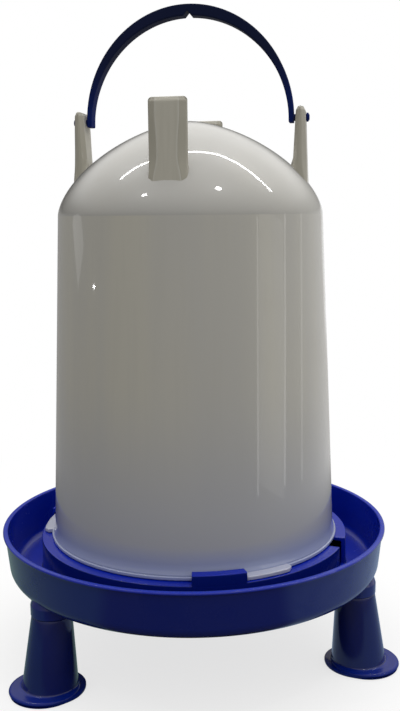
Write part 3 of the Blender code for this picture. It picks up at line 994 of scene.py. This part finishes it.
@dataclass
class Bell:
    """The water bell: shell, mouth skirt, lugs and ears."""

    lip_low: float = 28.3
    lip_t: float = 2.6
    lip_r: float = 112.4
    lip_roll: float = 0.9
    foot_r: float = 109.8
    flare_h: float = 9.0
    flare_power: float = 2.2
    shoulder_r: float = 100.0
    shoulder_z: float = 275.0
    dome_h: float = 69.4
    power: float = 1.59
    wall: float = 2.0
    mouth_r: float = 104.6
    skirt_r: float = 106.8
    skirt_low: float = 15.0
    skirt_top: float = 28.0
    lug_starts: tuple = (297.7, 417.7, 537.7)
    lug_span: float = 18.4
    lug_r: float = 118.4
    lug_t: float = 2.9
    lug_root: float = 4.0
    lug_step: tuple = (2.2, 0.1, 2.6)
    lug_edge: float = 0.45
    ear_w: float = 26.2
    ear_low: float = 286.0
    ear_top: float = 352.2
    ear_inner: float = 80.0
    ear_t: float = 6.6
    ear_edge: float = 0.9
    ear_flare: float = 4.0
    inner_slope: float = 0.055
    outer_slope: float = 0.040
    panel: float = 8.3
    band_slope: float = 0.60
    groove: tuple = (0.22, 0.3)
    crown: tuple = (1.2, 3.2)
    crease_top: float = 1.5
    inner_band: float = 0.8
    side_bulge: float = 0.25
    flare_share: float = 0.3
    flare_in: float = 1.6
    pin_hole: float = 2.8
    steps: int = 288

    def dome(self, r: float, h: float, count: int) -> np.ndarray:
        """The dome's outline: radius r cos(a)^(2/p) and height h sin(a)^(2/p) above the shoulder.

        Args:
            r: the dome's radius at the shoulder.
            h: its height.
            count: how many points.

        Returns:
            Points, (count, 2), from the shoulder to the apex.
        """
        a, bend = np.linspace(0, np.pi / 2, count), 2 / self.power
        out = np.stack([r * np.cos(a) ** bend, self.shoulder_z + h * np.sin(a) ** bend], -1)
        out[-1, 0] = 0
        return out

    def dome_height(self, r: np.ndarray) -> np.ndarray:
        """The dome's outer height at a distance r from the axis."""
        share = np.clip(r / self.shoulder_r, 0, 1) ** self.power
        return self.shoulder_z + self.dome_h * (1 - share) ** (1 / self.power)

    def shell(self) -> np.ndarray:
        """Outer and inner skin, joined round the mouth, as one turned outline from apex to apex.

        Returns:
            The grid.
        """
        low, roll, lip_top = self.lip_low, self.lip_roll, self.lip_low + self.lip_t
        flare, inner_r = lip_top + self.flare_h, self.shoulder_r - self.wall
        outer_dome = self.dome(self.shoulder_r, self.dome_h, 70)[::-1]
        down = np.linspace(0, 1, 40)[1:-1, None]
        shoulder, foot = [[self.shoulder_r, self.shoulder_z]], [[self.foot_r, flare]]
        outer_wall = shoulder * (1 - down) + foot * down
        s = np.linspace(0, 1, 14)[:-1, None]
        curve_r = self.foot_r + (self.lip_r - roll - self.foot_r) * s**self.flare_power
        curve = np.concatenate([curve_r, flare + (lip_top - flare) * s], 1)
        lip = rounded([
            (self.lip_r - 1.2, lip_top, 0), (self.lip_r, lip_top, roll), (self.lip_r, low, roll),
            (self.mouth_r, low, 0.4), (self.mouth_r, lip_top, 1.5), (self.foot_r - self.wall, flare, 8),
            (inner_r, self.shoulder_z - 3, 0),
        ], closed=False, arc=6, straight=9)
        inner_dome = self.dome(inner_r, self.dome_h - self.wall, 50)
        return turned(np.concatenate([outer_dome, outer_wall, curve, lip, inner_dome]), self.steps)

    def skirt(self) -> np.ndarray:
        """The mouth's plain ring, with a softened edge.

        Returns:
            The grid.
        """
        low, top = self.skirt_low, self.skirt_top
        section = rounded([(self.mouth_r, low, 0.8), (self.skirt_r, low, 0.8), (self.skirt_r, top, 0.2),
                           (self.mouth_r, top, 0.2)])
        return turned(np.concatenate([section, section[:1]]), self.steps)

    def lug(self, start: float) -> np.ndarray:
        """One lug, whose far end steps back.

        Args:
            start: the angle of the end beside the hood.

        Returns:
            The grid.
        """
        low, top, root = self.lip_low, self.lip_low + self.lug_t, self.lip_r - self.lug_root
        section = rounded([
            (root, low, 0.5), (self.lug_r, low, 0.5), (self.lug_r, top, 0.9), (root, top, 0.5),
        ], arc=5, straight=5)
        end, (begin, finish, depth) = start + self.lug_span, self.lug_step
        sections, degrees = eased_ends(section, start, end, self.lug_edge, self.lug_r, 26)
        back = smooth_step(degrees, end - begin, end - finish)[:, None]
        sections[..., 0] -= back * depth * smooth_step(sections[..., 0], self.lip_r, self.lug_r)
        return swept_round_z(sections, degrees)

    def plate(self, half: float, inset: float, corner: float, low: float) -> np.ndarray:
        """A rounded rectangle in an ear's own plane, whose top lies below the ear's by the inset.

        Args:
            half: half its width.
            inset: how far its top lies below the ear's.
            corner: its top corners' radius.
            low: its lower edge.

        Returns:
            Points (across, up) of its outline.
        """
        top = self.ear_top - inset
        return rounded([(half, low, 0.3), (half, top, corner), (-half, top, corner), (-half, low, 0.3)],
                       arc=14, straight=30)

    def waist(self, up: np.ndarray) -> np.ndarray:
        """The share of an ear's panel width at a height: less at the waist, more at the foot."""
        (top, waist, less), (knee, foot, more) = EAR_WAIST, EAR_FOOT
        return 1 - less * smooth_step(up, top, waist) + more * smooth_step(up, knee, foot)

    def ear_plane(self, hole: float) -> tuple:
        """An ear in its own plane.

        Its points run from the hole to the panel's outline and on to the plate's, so that the creases beside
        the panel lie along rows.

        Args:
            hole: the hole's radius, or 0.

        Returns:
            The grid of (across, up), and its points' distances from the plate's outline.
        """
        outline = self.plate(self.ear_w / 2, 0, 2.6, self.ear_low)
        panel = self.plate(self.panel, 1.3, 1.7, self.ear_low + 1.5)
        panel[:, 0] *= self.waist(panel[:, 1])
        centre = np.array([0.0, PIVOT_Z])
        spoke = panel - centre
        around = np.arctan2(spoke[:, 1], spoke[:, 0])
        rim = centre + hole * np.stack([np.cos(around), np.sin(around)], -1)
        near = np.concatenate([np.linspace(0, 0.9, 9), [0.94, 0.965, 0.985, 1.0]])[:, None, None]
        past = np.array([0.03, 0.07, 0.13, 0.25, 0.4, 0.6, 0.8, 0.86, 0.91, 0.95, 0.98, 1.0])[:, None, None]
        flat = np.concatenate([rim + (panel - rim) * near, panel + (outline - panel) * past])
        gap = np.linalg.norm(outline - panel, axis=1)
        left = np.concatenate([np.ones((len(near), 1)) * gap, (1 - past[..., 0]) * gap])
        return flat, left

    def ear(self, degrees: float, hole: float) -> np.ndarray:
        """One ear as a plate round its hole, or round its middle where it has none.

        At the distance p past the panel the side bands fall away by slope (p + hypot(p, 0.1)) / 2, and a
        groove of depth exp(-(p / width)^2) marks the crease. Each face rolls over its last edge millimetres e
        by e (1 - sqrt(1 - (1 - d / e)^2)) at the distance d from the outline, and widens by
        f (1 - sqrt(1 - (1 - h / f)^2)) times a share at the height h above the dome.

        Args:
            degrees: where it stands round the dome.
            hole: the hole's radius, or 0.

        Returns:
            The grid.
        """
        flat, left = self.ear_plane(hole)
        across, up = flat[..., 0], flat[..., 1]
        pull = self.ear_edge * quarter(left / self.ear_edge)
        drop = self.ear_top - up
        beyond = np.abs(across) - self.panel * self.waist(up)
        band = self.band_slope * (beyond + np.hypot(beyond, 0.1)) / 2
        depth, width = self.groove
        groove = depth * np.exp(-(beyond / width) ** 2) * (drop > self.crease_top)
        crown = self.crown[0] * smooth_step(up, self.ear_top - self.crown[1], self.ear_top)
        outer = self.ear_inner + self.ear_t + self.outer_slope * drop - band - groove - crown - pull
        inner = self.ear_inner - self.inner_slope * drop + self.inner_band * band + crown + pull
        side = np.linspace(0, 1, 9)[1:-1, None]
        side_x = inner[-1] + (outer[-1] - inner[-1]) * side
        bulge = (self.side_bulge * np.sin(np.pi * side))[..., None]
        side_flat = flat[-1:] + outline_normals(flat[-1])[None] * bulge
        across = np.concatenate([across, side_flat[..., 0], across[::-1]])
        up = np.concatenate([up, side_flat[..., 1], up[::-1]])
        x = np.concatenate([inner, side_x, outer[::-1]])
        above = np.clip((up - self.dome_height(np.hypot(x, across))) / self.ear_flare, 0, 1)
        grow = self.flare_share * self.ear_flare * quarter(above)
        middle = (2 * self.ear_inner + self.ear_t - self.inner_slope * (self.ear_top - up)) / 2
        inward = np.clip((middle - x) / (self.ear_t / 2), 0, 1)
        grid = np.stack([x - self.flare_in * inward * grow, across * (1 + 0.5 * grow / self.ear_w), up], -1)
        return spun(np.concatenate([grid, grid[:1]]), degrees)

    def build(self) -> None:
        """Makes the bell's pieces. The ears' mirror images would blot the dome beside them."""
        make_piece("bell_shell", [self.shell()], BELL_MILK, Body.BELL, ["bell"])
        make_piece("bell_mouth_skirt", [self.skirt()], BELL_MILK, Body.MOUTH, ["mouth_skirt"])
        make_piece("bell_lugs", [self.lug(a) for a in self.lug_starts], LUG_MILK, Body.BELL)
        ears = [self.ear(90.0 * k, self.pin_hole if k % 2 == 0 else 0.0) for k in range(4)]
        made = make_piece("bell_ears", ears, EAR_MILK, Body.BELL, sharp=40)
        made.visible_glossy = False


@dataclass
class Bail:
    """The carrying bail with its two pins."""

    half_span: float = 78.0
    rise: float = 82.5
    tail: float = 3.6
    width: float = 12.0
    end_t: float = 3.6
    top_t: float = 8.2
    swell: float = 1.3
    draft: float = 4.0
    corner: float = 1.1
    notch_w: float = 6.4
    notch_depth: float = 3.4
    notch_from: float = 1.50
    pin_r: float = 2.5
    head_from: float = 87.29
    head_r: float = 3.3
    head_l: float = 2.2

    def hoop(self) -> np.ndarray:
        """The half hoop.

        Along a from 0 to pi its outer line is (R cos a, H sin a), and its thickness
        end + (top - end) sin(a)^swell, less a V at the middle for a hook; short straight tails end it.

        Returns:
            The grid.
        """
        to_notch = np.linspace(0, self.notch_from, 90)
        a = np.concatenate([to_notch, np.linspace(self.notch_from, np.pi / 2, 34)[1:]])
        a = np.concatenate([a, (np.pi - a)[::-1][1:]])
        line = np.stack([self.half_span * np.cos(a), self.rise * np.sin(a)], -1)
        ahead = np.stack([-self.half_span * np.sin(a), self.rise * np.cos(a)], -1)
        ahead /= np.linalg.norm(ahead, axis=1, keepdims=True)
        inward = np.stack([-ahead[:, 1], ahead[:, 0]], -1)
        notch = np.clip(1 - np.abs(line[:, 0]) / (self.notch_w / 2), 0, 1) * self.notch_depth
        thick = self.end_t + (self.top_t - self.end_t) * np.sin(a) ** self.swell - notch
        tails = self.tail * np.array([1.0, 0.93, 0.5])
        line = np.concatenate([np.stack([0 * tails + self.half_span, -tails], -1), line,
                               np.stack([0 * tails - self.half_span, -tails[::-1]], -1)])
        inward = np.concatenate([[[-1, 0]] * 3, inward, [[1, 0]] * 3])
        ends = np.array([0.86, 0.97, 1.0])
        thick = np.concatenate([self.end_t * ends, thick, self.end_t * ends[::-1]])
        narrow = np.concatenate([ends, np.ones(len(a)), ends[::-1]])
        half, c, draft = self.width / 2, self.corner, self.draft
        section = rounded([(0, -half, c), (draft, -half, c), (draft, half, c), (0, half, c)],
                          arc=5, straight=5)
        depth = section[None, :, 0]
        depth = np.maximum(np.where(depth > draft / 2, depth + thick[:, None] - draft, depth), 0)
        across = section[None, :, 1] * narrow[:, None]
        point = line[:, None] + inward[:, None] * depth[..., None]
        return with_centres(np.stack([point[..., 0], across, point[..., 1] + PIVOT_Z], -1))

    def pin(self, side: int) -> np.ndarray:
        """A pin with a domed head, from inside the hoop's end out through the ear.

        Args:
            side: 1 at the right, -1 at the left.

        Returns:
            The grid.
        """
        start, base, r, length = self.half_span - 2.0, self.head_from, self.head_r, self.head_l
        outline = rounded([
            (0, start, 0), (self.pin_r, start, 0.1), (self.pin_r, base, 0.2), (r, base, 0.3),
            (r, base + length * 0.55, 0.8), (r * 0.55, base + length, 1.5), (0, base + length, 0),
        ], closed=False, arc=6, straight=4)
        x, y, z = np.moveaxis(turned(outline, 48), -1, 0)
        return np.stack([side * z, x, y + PIVOT_Z], -1)

    def build(self) -> None:
        """Makes the bail, whose mirror image would draw a dark line over the dome."""
        grids = [self.hoop(), self.pin(1), self.pin(-1)]
        made = make_piece("bail_handle", grids, BAIL_NAVY, Body.BAIL, ["bail"], sharp=45)
        made.visible_glossy = False


# Studio


@dataclass
class Studio:
    """Camera, lamps, world and the pale floor."""

    focal_px: float = 908.0
    width_px: int = 400
    height_px: int = 711
    sensor: float = 36.0
    distance: float = 0.700
    eye: float = 0.2755
    azimuth: float = 10.0
    pitch: float = 0.1545
    yaw: float = 0.0087
    roll: float = -0.010
    ground: float = -0.065
    floor_r: float = 8.0
    centre: tuple = (0.02, -0.07, 0.30)
    sky_low: float = 0.31
    sky_lift: float = 0.84
    sky_power: float = 1.6
    back_glow: float = 0.70
    back_dark: float = 0.37
    front_glow: float = 0.16
    wall_edge: tuple = (0.25, 0.55)
    horizon: tuple = (0.03, 0.14)
    backdrop_turn: float = 12.0
    backdrop_edge: tuple = (0.93, 0.98)
    backdrop_top: tuple = (0.04, 0.12)
    backdrop_from: tuple = (1.0, 3.0)
    side_way: tuple = (0.79, 0.61, 0.0)
    side_glow: float = 0.45
    other_dark: float = 0.09
    sky_tint: tuple = (1.0, 0.99, 0.97)
    table_grey: float = 0.07
    table_edge: tuple = (0.60, 0.90)
    table_nearer: float = 0.22
    table_ends: tuple = (0.2, 0.9)
    front_edge: tuple = (-0.82, -0.70)
    front_reach: tuple = (0.50, 0.36)
    shadow_share: float = 0.28
    shadow_edge: tuple = (0.60, 0.12)
    table_left: tuple = (0.15, 0.22, 0.21)
    table_right: tuple = (0.26, 0.34, 0.47)
    tube_ways: tuple = ((-0.615, 0.127, 0.778), (-0.482, 0.225, 0.847), (-0.377, 0.244, 0.894),
                        (-0.06, 0.347, 0.936), (0.084, 0.384, 0.919), (0.173, 0.393, 0.903),
                        (0.279, 0.377, 0.883), (0.398, 0.347, 0.849), (0.533, 0.294, 0.793),
                        (0.712, 0.229, 0.664))
    spots: tuple = (("ceiling_spot_left", (-0.448, -0.423, 0.788), 1.6, (0.105, 0.115), 38.0),
                    ("ceiling_spot_right", (0.354, -0.26, 0.898), 1.6, (0.115, 0.130), 38.0),
                    ("side_spot", (-0.977, -0.213, -0.080), 1.2, (0.06, 0.004), 90.0))
    strips: tuple = (("right_strip_front", (0.361, -0.250, 0.003), (0.3755, -0.215, 0.300), 0.010, 1.5),
                     ("right_strip_middle", (0.418, -0.088, 0.006), (0.421, -0.030, 0.300), 0.012, 1.5),
                     ("right_strip_back", (0.413, 0.042, 0.005), (0.400, 0.110, 0.300), 0.012, 0.8),
                     ("left_window", (-0.4115, -0.050, 0.236), (-0.400, 0.016, 0.305), 0.072, 0.6))

    def camera(self) -> None:
        """Places the camera: its forward line is pitched down by pitch and turned by yaw off the line to the
        axis, and the whole is turned about Z by the azimuth."""
        (cp, sp), (cw, sw), (cr, sr), (ct, st) = (
            (np.cos(a), np.sin(a)) for a in (self.pitch, self.yaw, self.roll, np.radians(self.azimuth)))
        forward = np.array([sw * cp, cw * cp, -sp])
        right = np.array([cw, -sw, 0.0])
        up = np.cross(right, forward)
        right, up = right * cr + up * sr, up * cr - right * sr
        place = np.array([0.0, -self.distance, self.eye])
        spin = np.array([[ct, -st, 0], [st, ct, 0], [0, 0, 1]])
        matrix = np.eye(4)
        matrix[:3] = np.stack([spin @ right, spin @ up, spin @ -forward, spin @ place], -1)
        data = bpy.data.cameras.new("photo_camera")
        data.sensor_width = self.sensor
        data.lens = self.focal_px * self.sensor / max(self.width_px, self.height_px)
        data.clip_start, data.clip_end = 0.02, 40.0
        made = bpy.data.objects.new("photo_camera", data)
        bpy.context.scene.collection.objects.link(made)
        made.matrix_world = Matrix(matrix.tolist())
        bpy.context.scene.camera = made

    def lamp(self, name: str, place: Any, turn: Any, size: tuple, glow: float,
             shape: str = "RECTANGLE") -> Any:
        """One area lamp, which the camera itself doesn't see.

        Args:
            name: its name.
            place: where it hangs.
            turn: its rotation as a quaternion.
            size: its two sides.
            glow: the radiance of a rectangle of that size, which takes the power glow * pi * area.
            shape: its shape, an ellipse having the share pi / 4 of the area.

        Returns:
            The lamp's object.
        """
        data = bpy.data.lights.new(name, "AREA")
        data.shape = shape
        data.size, data.size_y = size
        data.energy = glow * np.pi * size[0] * size[1] * (np.pi / 4 if shape == "ELLIPSE" else 1)
        made = bpy.data.objects.new(name, data)
        bpy.context.scene.collection.objects.link(made)
        made.location = place
        made.rotation_mode = "QUATERNION"
        made.rotation_quaternion = turn
        made.visible_camera = False
        return made

    def oval(self, name: str, way: tuple, far: float, size: tuple, glow: float) -> None:
        """An oval lamp in a direction from the bell, which it faces.

        Args:
            name: its name.
            way: the direction it lies in.
            far: how far off.
            size: its width and its height.
            glow: its radiance.
        """
        place = Vector(self.centre) + far * Vector(way).normalized()
        turn = (Vector(self.centre) - place).to_track_quat("-Z", "Y")
        self.lamp(name, place, turn, size, glow, "ELLIPSE")

    def strip(self, name: str, foot: tuple, top: tuple, width: float, glow: float) -> Any:
        """A thin upright lamp from one point to another, which faces the bell's axis.

        Args:
            name: its name.
            foot: its lower end.
            top: its upper end.
            width: its width.
            glow: its radiance.

        Returns:
            The lamp's object.
        """
        start, end = Vector(foot), Vector(top)
        away = start + end
        away.z = 0.0
        return self.bar(name, start, end, away, width, glow)

    def bar(self, name: str, start: Vector, end: Vector, away: Vector, width: float, glow: float) -> Any:
        """A straight lamp from one point to another.

        Its own Z, which it shines against, is the part of the given direction that lies across its line.

        Args:
            name: its name.
            start: its one end.
            end: its other end.
            away: the direction that it shines against.
            width: its width.
            glow: its radiance.

        Returns:
            The lamp's object.
        """
        along = (end - start).normalized()
        back = (away - along * away.dot(along)).normalized()
        turn = Matrix((along.cross(back), along, back)).transposed().to_quaternion()
        return self.lamp(name, (start + end) / 2, turn, (width, (end - start).length), glow)

    def tube(self, name: str, ways: Sequence[tuple], far: float, width: float, glow: float,
             count: int) -> None:
        """A bent light tube made of short straight lamps end to end.

        The tube's directions are a polyline of the given ones, resampled at equal angles; each lamp spans
        from one sample to the next and faces the bell.

        Args:
            name: its name.
            ways: directions along it.
            far: its distance from the bell.
            width: its width.
            glow: its radiance.
            count: how many lamps.
        """
        way = np.array(ways, float)
        way /= np.linalg.norm(way, axis=1, keepdims=True)
        run = np.concatenate([[0], np.cumsum(np.linalg.norm(np.diff(way, axis=0), axis=1))])
        at = np.linspace(0, run[-1], count + 1)
        ends = np.stack([np.interp(at, run, way[:, k]) for k in range(3)], -1)
        ends = np.array(self.centre) + far * ends / np.linalg.norm(ends, axis=1, keepdims=True)
        for k in range(count):
            start, end = Vector(ends[k]), Vector(ends[k + 1])
            self.bar(f"{name}_{k}", start, end, (start + end) / 2 - Vector(self.centre), width, glow)

    def ahead(self, n: Nodes, way: Signal, turn: float = 0.0) -> Signal:
        """How far a point or a direction lies ahead of the camera, or of its view turned right by degrees."""
        a = np.radians(self.azimuth - turn)
        return n.along(way, (-float(np.sin(a)), float(np.cos(a)), 0.0))

    def backdrop(self, n: Nodes, behind: Signal) -> Signal:
        """Where the white background shows: to the camera, and behind the object in glossy and clear rays."""
        camera, glossy, clear = (n.rays(kind) for kind in ("Camera", "Glossy", "Transmission"))
        return (camera + (glossy + clear).clip() * behind).clip()

    def room(self, n: Nodes, way: Signal) -> Signal:
        """The room's radiance in a direction.

        It is low + lift * max(z, 0)^power + side * max(s, 0)^2 - other * max(-s, 0) + front * max(-a, 0).
        Here z is the height of the direction, s its share towards the side and a its share away from the
        camera. Above the back wall's edge back * max(a, 0) is added, and between it and the horizon
        dark * max(a, 0) is taken off.

        Args:
            n: the node tree.
            way: the direction.

        Returns:
            The radiance.
        """
        height, across, away = n.part("Z", way), n.along(way, self.side_way), self.ahead(n, way)
        side, other = across.clip(), (across * -1.0).clip()
        wall = height.rise(*self.wall_edge) * (self.back_glow + self.back_dark)
        wall = wall - height.rise(*self.horizon) * self.back_dark
        sky = height.clip() ** self.sky_power * self.sky_lift + self.sky_low
        sides = side * side * self.side_glow - other * self.other_dark
        return sky + sides + away.clip() * wall + (away * -1.0).clip() * self.front_glow

    def world(self) -> None:
        """White behind the object; otherwise a room that brightens upwards, to the window side and ahead."""
        made = bpy.data.worlds.new("studio_world")
        n = Nodes(made)
        way = n.node("ShaderNodeTexCoord", output="Generated")
        behind = self.ahead(n, way, self.backdrop_turn).rise(*self.backdrop_edge)
        behind = behind * (1 - abs(n.part("Z", way)).rise(*self.backdrop_top))
        room = n.light("Background", self.sky_tint, self.room(n, way))
        n.output("World", n.blend(self.backdrop(n, behind), room, n.light("Background", (1, 1, 1))))
        bpy.context.scene.world = made

    def floor(self) -> None:
        """A large pale floor at the feet's soles.

        Where the background shows, it glows white far off, and near the object a share of it is plainly lit,
        so that it keeps the object's shadow. The object is lit as if it stood on a dark round table, and its
        gloss shows that table pale beside it, in front.
        """
        a = np.linspace(0, 2 * np.pi, 96, endpoint=False)
        ring = np.stack([self.floor_r * np.cos(a), self.floor_r * np.sin(a), 0 * a + self.ground], -1)
        mesh = bpy.data.meshes.new("studio_floor")
        mesh.from_pydata(ring.tolist(), [], [list(range(len(a)))])
        n = Nodes(bpy.data.materials.new("pale_floor"))
        far, glossy, place = n.off_axis(), n.rays("Glossy"), n.place()
        shade = 1 - far.rise(*self.shadow_edge) * self.shadow_share
        pale = n.blend(shade, n.plain(0.92, 0.7), n.light("Emission", (1, 1, 1)))
        way = n.vector("NORMALIZE", "Vector", n.stretched(1, 1, 0))
        edge = n.light("Emission", self.sky_tint, self.room(n, way))
        past = (far + glossy * self.table_nearer).rise(*self.table_edge)
        dim = n.blend(past, n.plain(self.table_grey, 0.9), edge)
        right = self.ahead(n, place, 90.0) / far
        beside = (self.ahead(n, place) / far).rise(*self.front_edge) * far.rise(*self.front_reach) * glossy
        tint = n.mix(right.rise(*self.table_ends), self.table_left, self.table_right)
        dim = n.blend(beside, dim, n.light("Emission", tint))
        behind = (self.ahead(n, place, self.backdrop_turn) / far).rise(*self.backdrop_edge)
        behind = behind * far.rise(*self.backdrop_from)
        n.output("Material", n.blend(self.backdrop(n, behind), dim, pale))
        mesh.materials.append(n.owner)
        made = bpy.data.objects.new("studio_floor", mesh)
        bpy.context.scene.collection.objects.link(made)

    def build(self) -> None:
        """Sets up the whole studio. The lamps lie where the bell's gloss in the photograph mirrors them."""
        self.camera()
        self.world()
        self.floor()
        self.tube("ceiling_tube", self.tube_ways, 1.6, 0.042, 26.0, 14)
        for spot in self.spots:
            self.oval(*spot)
        for strip in self.strips:
            self.strip(*strip)
        pane = self.strip("right_window", (0.3895, -0.169, 0.0045), (0.398, -0.1225, 0.300), 0.165, 0.55)
        pane.visible_diffuse = False


def main() -> None:
    """Builds the drinker and its studio in order."""
    logging.basicConfig(level=logging.INFO, format="%(name)s: %(message)s")
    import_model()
    bpy.context.scene.view_settings.view_transform = "Standard"
    for assembly in (Studio(), Tray(), Legs(), Bell(), Bail()):
        assembly.build()
    log.info("boxes kept")


if __name__ == "__main__":
    main()
